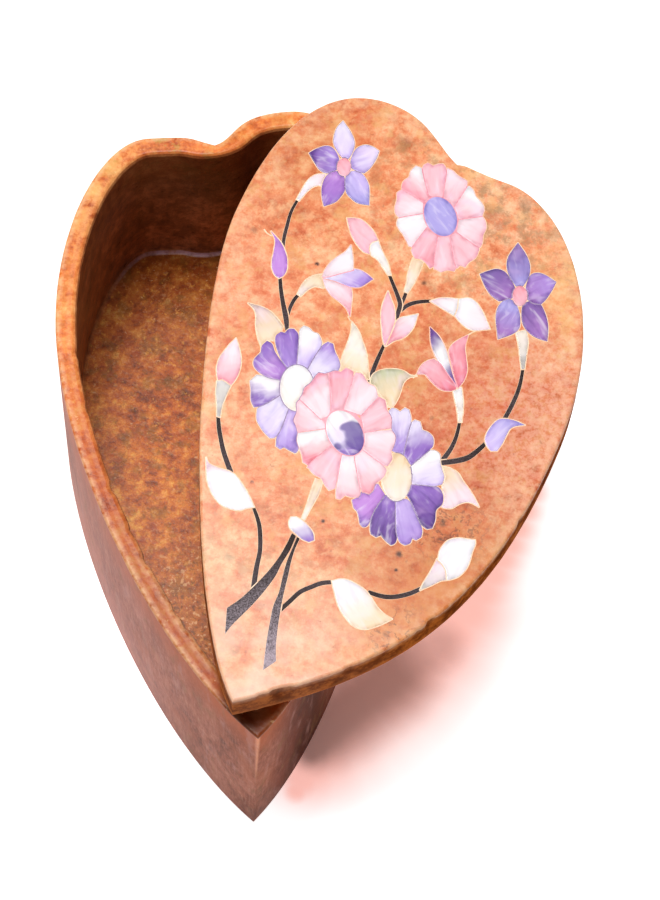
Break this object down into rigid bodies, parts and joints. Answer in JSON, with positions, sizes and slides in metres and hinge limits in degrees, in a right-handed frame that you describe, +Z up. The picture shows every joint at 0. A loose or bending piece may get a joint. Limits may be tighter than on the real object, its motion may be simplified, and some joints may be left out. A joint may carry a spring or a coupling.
{
  "type": "marble trinket box",
  "caption": "Heart-shaped hollow stone trinket box with a loose flat lid lying askew on its rim, the lid inlaid flush with a flower spray of coloured shell",
  "frame": {"origin": "middle of the underside of the whole object, lid included", "axes": "+Z up from the underside; +Y from the heart's tip towards its lobes; +X to the right seen from the tip"},
  "size_m": [0.0812, 0.1066, 0.0475],
  "materials": {
    "stone_body": "honed orange-brown soapstone",
    "stone_lid": "polished peach marble with orange blotches",
    "stem": "polished dark brown shell or stone",
    "cream": "polished cream shell",
    "white": "polished white mother-of-pearl",
    "pink": "polished pink shell",
    "violet": "polished violet dyed shell",
    "lavender": "polished lavender dyed shell"
  },
  "bodies": {
    "root": {"box_body": "stone_body", "lid": "stone_lid", "branch_low": "stem", "bud_left": "pink", "bud_low": "white", "bud_top": "pink", "bud_white": "white", "calyx_bud_left": "cream", "calyx_bud_low": "pink", "calyx_bud_top": "white", "calyx_bud_white": "white", "calyx_rose_middle": "cream", "calyx_rose_top": "cream", "calyx_star_left": "white", "calyx_star_right": "cream", "calyx_tulip_left": "cream", "calyx_tulip_right": "white", "knot": "lavender", "leaf_beige": "cream", "leaf_bud_left": "lavender", "leaf_bud_right": "lavender", "leaf_cream": "cream", "leaf_left": "white", "leaf_low": "white", "leaf_middle": "cream", "leaf_pink_long": "pink", "leaf_pink_short": "pink", "leaf_right": "cream", "rose_left_eye": "cream", "rose_left_petals": "violet", "rose_low_eye": "cream", "rose_low_petals": "violet", "rose_middle_eye": "white", "rose_middle_petals": "pink", "rose_top_eye": "lavender", "rose_top_petals": "pink", "star_left_eye": "pink", "star_left_petals": "violet", "star_right_eye": "pink", "star_right_petals": "violet", "stem_bud_left": "stem", "stem_bud_low": "stem", "stem_bud_top": "stem", "stem_bud_white": "stem", "stem_leaf_bud": "stem", "stem_leaf_left": "stem", "stem_leaf_right": "stem", "stem_middle": "stem", "stem_rose_top": "stem", "stem_star_left": "stem", "stem_star_right": "stem", "stem_tulip_left": "stem", "stem_tulip_right": "stem", "trunk_left": "stem", "trunk_right": "stem", "tulip_left_petals": "pink", "tulip_right_petals": "pink"}
  },
  "joints": []
}
